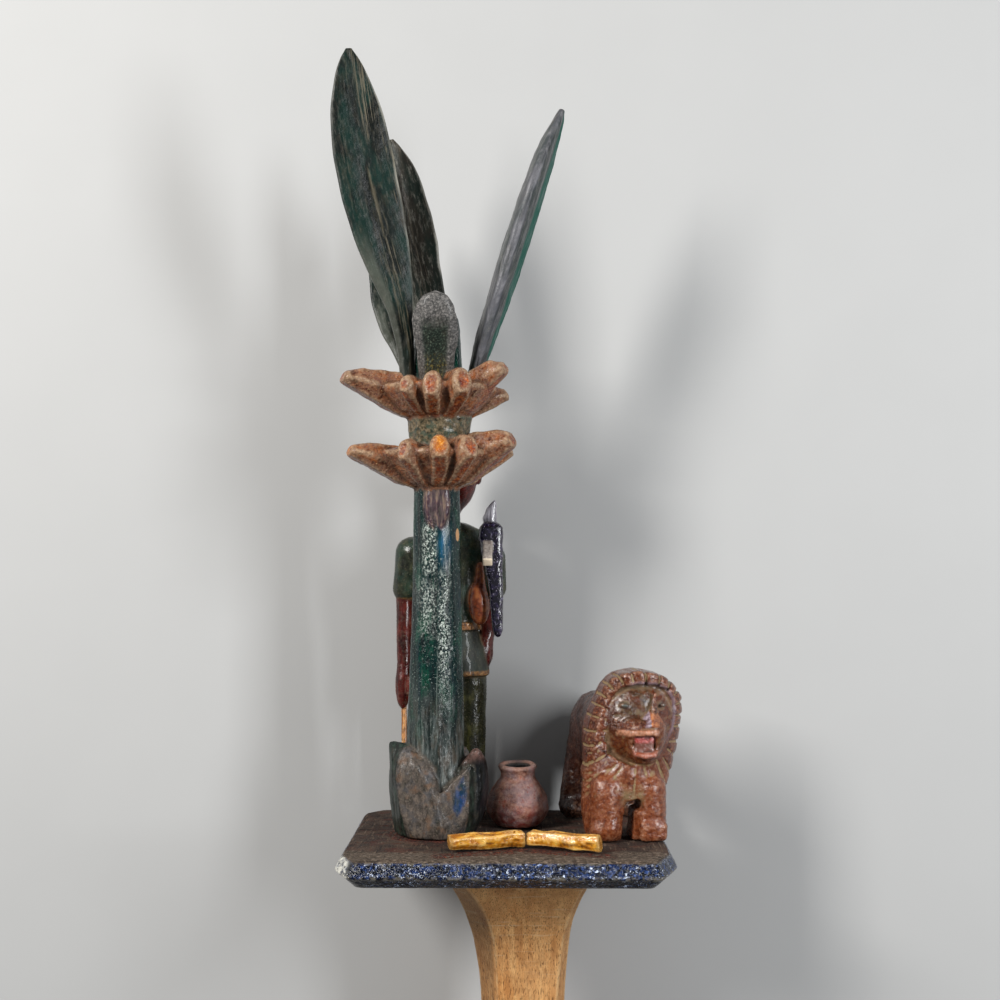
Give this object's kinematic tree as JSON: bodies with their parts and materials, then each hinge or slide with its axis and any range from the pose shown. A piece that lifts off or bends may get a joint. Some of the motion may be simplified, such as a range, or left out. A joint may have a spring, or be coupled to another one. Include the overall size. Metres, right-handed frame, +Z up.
{
  "type": "linguist staff",
  "caption": "Carved wooden staff of office with a painted finial: plantain tree, hunter, pot, firewood and lion on a square platform.",
  "frame": {"origin": "on the floor under the middle of the bounding box", "axes": "the staff lies on its back: +Y along the staff towards the finial's top, +X to the right of the main face, +Z up, the way the main face looks"},
  "size_m": [0.1408, 1.507, 0.1214],
  "materials": {
    "bare_wood": "bare golden-brown wood, rubbed",
    "blue_rim": "dusty brown top, dark blue glossy rim",
    "tree_green": "dark green gloss paint, amber-brown varnished fruit",
    "leaf_green": "worn dark green paint over pale wood",
    "hunter_paint": "dark olive dress, maroon skin, gloss paint",
    "sheath_purple": "purple-black gloss paint",
    "stick_ochre": "ochre gloss paint",
    "pot_brown": "dusty red-brown, slight sheen",
    "billet_yellow": "golden yellow gloss paint, grime in the cuts",
    "lion_brown": "red-brown varnish, dust in the grooves"
  },
  "bodies": {
    "root": {"shaft": "bare_wood", "platform": "blue_rim", "plantain_tree": "tree_green", "leaf_left": "leaf_green", "leaf_back": "leaf_green", "leaf_right": "leaf_green", "leaf_rear_left": "leaf_green", "hunter": "hunter_paint", "sheath": "sheath_purple", "stick": "stick_ochre", "pot": "pot_brown", "billet_left": "billet_yellow", "billet_right": "billet_yellow", "lion": "lion_brown"}
  },
  "joints": []
}
